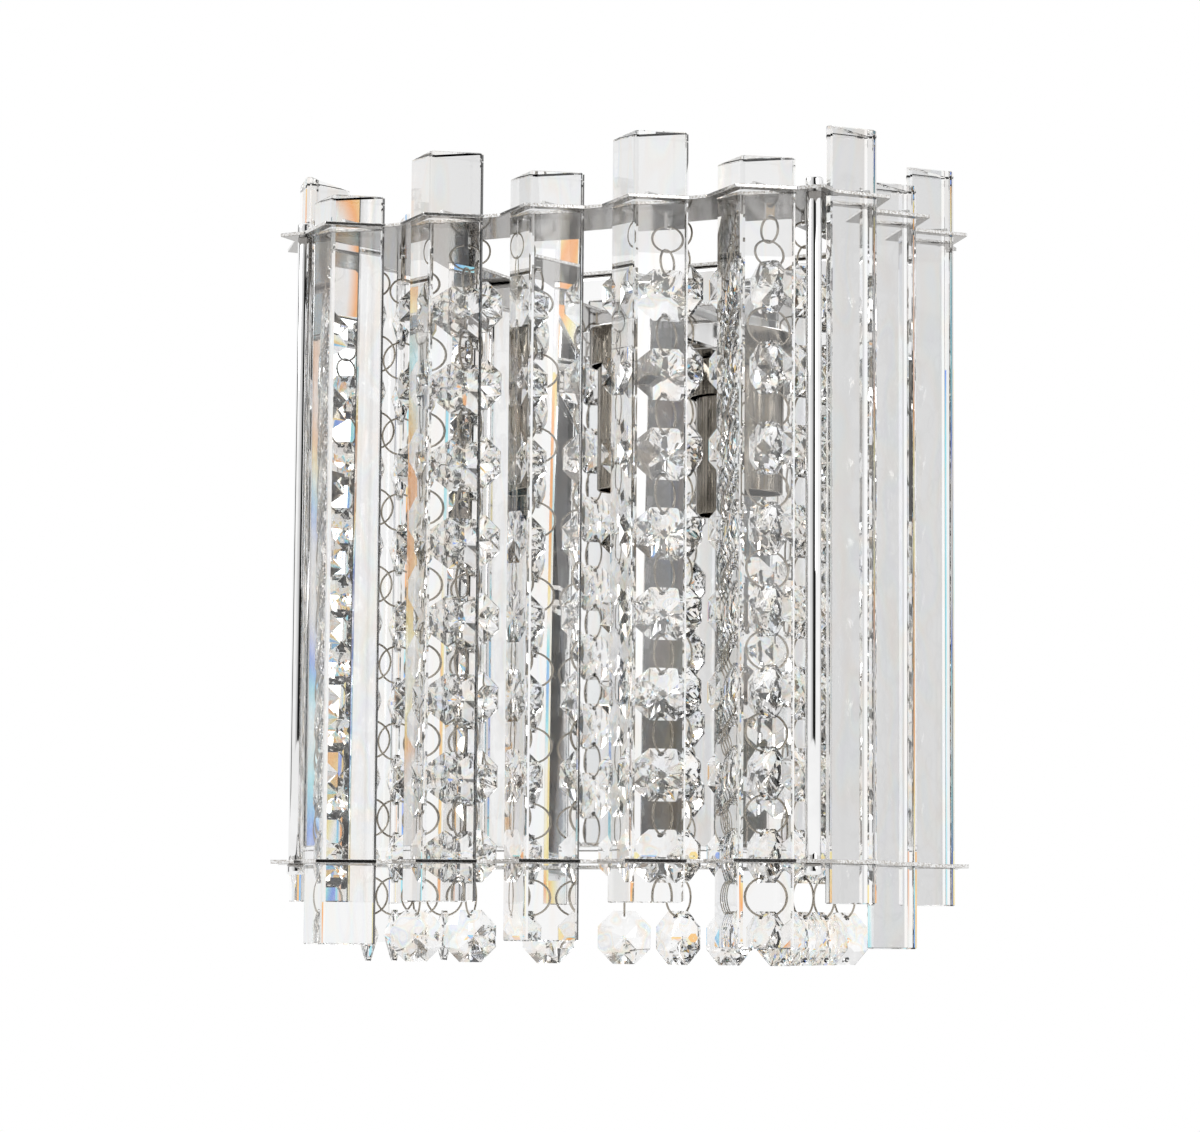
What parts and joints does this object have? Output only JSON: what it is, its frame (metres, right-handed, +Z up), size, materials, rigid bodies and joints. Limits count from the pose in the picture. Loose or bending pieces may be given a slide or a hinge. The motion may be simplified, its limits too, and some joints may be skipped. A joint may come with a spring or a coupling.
{
  "type": "crystal wall sconce",
  "caption": "Chrome wall sconce with scalloped top and bottom plates, upright glass prisms and hanging strings of faceted crystals around a lamp holder.",
  "frame": {"origin": "on the wall plane, at the middle of the wall bar between its two fixing slots", "axes": "+Z up, -Y to the front away from the wall, +X to the right seen from the front"},
  "size_m": [0.268, 0.155, 0.3184],
  "materials": {
    "chrome": "polished",
    "mirror_chrome": "mirror polished",
    "zinc_steel": "zinc plated",
    "prism_glass": "clear, cut and polished",
    "crystal_glass": "clear, faceted",
    "ring_wire": "nickel plated wire",
    "holder_plastic": "moulded",
    "brass": "plain",
    "lead_sleeve": "insulated wires"
  },
  "bodies": {
    "sconce": {"top_plate": "chrome", "bottom_plate": "chrome", "corner_posts": "chrome", "post_caps": "chrome", "pan_screws": "chrome", "bottom_spacers": "chrome", "lamp_bracket": "chrome", "lamp_cup": "chrome", "lamp_sleeve": "chrome", "lock_nuts": "chrome", "string_hooks": "chrome", "dome_nuts": "chrome", "wall_bar": "zinc_steel", "mounting_studs": "zinc_steel", "prism_pins": "zinc_steel", "threaded_nipple": "zinc_steel", "front_prism_1": "prism_glass", "front_prism_2": "prism_glass", "front_prism_3": "prism_glass", "front_prism_4": "prism_glass", "front_prism_5": "prism_glass", "left_prism_1": "prism_glass", "left_prism_2": "prism_glass", "left_prism_3": "prism_glass", "right_prism_1": "prism_glass", "right_prism_2": "prism_glass", "right_prism_3": "prism_glass", "back_pan": "mirror_chrome", "lamp_holder": "holder_plastic", "screw_shell": "brass", "centre_contact": "brass", "lamp_lead": "lead_sleeve"},
    "string_1": {"string_1_crystals": "crystal_glass", "string_1_rings": "ring_wire"},
    "string_2": {"string_2_crystals": "crystal_glass", "string_2_rings": "ring_wire"},
    "string_3": {"string_3_crystals": "crystal_glass", "string_3_rings": "ring_wire"},
    "string_4": {"string_4_crystals": "crystal_glass", "string_4_rings": "ring_wire"},
    "string_5": {"string_5_crystals": "crystal_glass", "string_5_rings": "ring_wire"},
    "string_6": {"string_6_crystals": "crystal_glass", "string_6_rings": "ring_wire"},
    "string_7": {"string_7_crystals": "crystal_glass", "string_7_rings": "ring_wire"},
    "string_8": {"string_8_crystals": "crystal_glass", "string_8_rings": "ring_wire"},
    "string_9": {"string_9_crystals": "crystal_glass", "string_9_rings": "ring_wire"},
    "string_10": {"string_10_crystals": "crystal_glass", "string_10_rings": "ring_wire"},
    "string_11": {"string_11_crystals": "crystal_glass", "string_11_rings": "ring_wire"},
    "string_12": {"string_12_crystals": "crystal_glass", "string_12_rings": "ring_wire"},
    "string_13": {"string_13_crystals": "crystal_glass", "string_13_rings": "ring_wire"},
    "string_14": {"string_14_crystals": "crystal_glass", "string_14_rings": "ring_wire"}
  },
  "joints": [
    {"name": "string_1_swing", "type": "hinge", "parent": "sconce", "child": "string_1", "pos_m": [-0.068, -0.112, 0.12365], "axis": [1, 0, 0], "range_deg": [-2, 2]},
    {"name": "string_2_swing", "type": "hinge", "parent": "sconce", "child": "string_2", "pos_m": [-0.0435, -0.112, 0.12365], "axis": [1, 0, 0], "range_deg": [-2, 2]},
    {"name": "string_3_swing", "type": "hinge", "parent": "sconce", "child": "string_3", "pos_m": [-0.009, -0.112, 0.12365], "axis": [1, 0, 0], "range_deg": [-2, 2]},
    {"name": "string_4_swing", "type": "hinge", "parent": "sconce", "child": "string_4", "pos_m": [0.024, -0.112, 0.12365], "axis": [1, 0, 0], "range_deg": [-2, 2]},
    {"name": "string_5_swing", "type": "hinge", "parent": "sconce", "child": "string_5", "pos_m": [0.047, -0.112, 0.12365], "axis": [1, 0, 0], "range_deg": [-2, 2]},
    {"name": "string_6_swing", "type": "hinge", "parent": "sconce", "child": "string_6", "pos_m": [0.0685, -0.112, 0.12365], "axis": [1, 0, 0], "range_deg": [-2, 2]},
    {"name": "string_7_swing", "type": "hinge", "parent": "sconce", "child": "string_7", "pos_m": [-0.09, -0.112, 0.12365], "axis": [0, -1, 0], "range_deg": [-2, 1]},
    {"name": "string_8_swing", "type": "hinge", "parent": "sconce", "child": "string_8", "pos_m": [-0.09, -0.091, 0.12365], "axis": [0, -1, 0], "range_deg": [-2, 1]},
    {"name": "string_9_swing", "type": "hinge", "parent": "sconce", "child": "string_9", "pos_m": [-0.09, -0.07, 0.12365], "axis": [0, -1, 0], "range_deg": [-2, 1]},
    {"name": "string_10_swing", "type": "hinge", "parent": "sconce", "child": "string_10", "pos_m": [-0.09, -0.049, 0.12365], "axis": [0, -1, 0], "range_deg": [-2, 1]},
    {"name": "string_11_swing", "type": "hinge", "parent": "sconce", "child": "string_11", "pos_m": [0.09, -0.112, 0.12365], "axis": [0, 1, 0], "range_deg": [-2, 1]},
    {"name": "string_12_swing", "type": "hinge", "parent": "sconce", "child": "string_12", "pos_m": [0.09, -0.091, 0.12365], "axis": [0, 1, 0], "range_deg": [-2, 1]},
    {"name": "string_13_swing", "type": "hinge", "parent": "sconce", "child": "string_13", "pos_m": [0.09, -0.07, 0.12365], "axis": [0, 1, 0], "range_deg": [-2, 1]},
    {"name": "string_14_swing", "type": "hinge", "parent": "sconce", "child": "string_14", "pos_m": [0.09, -0.049, 0.12365], "axis": [0, 1, 0], "range_deg": [-2, 1]}
  ]
}
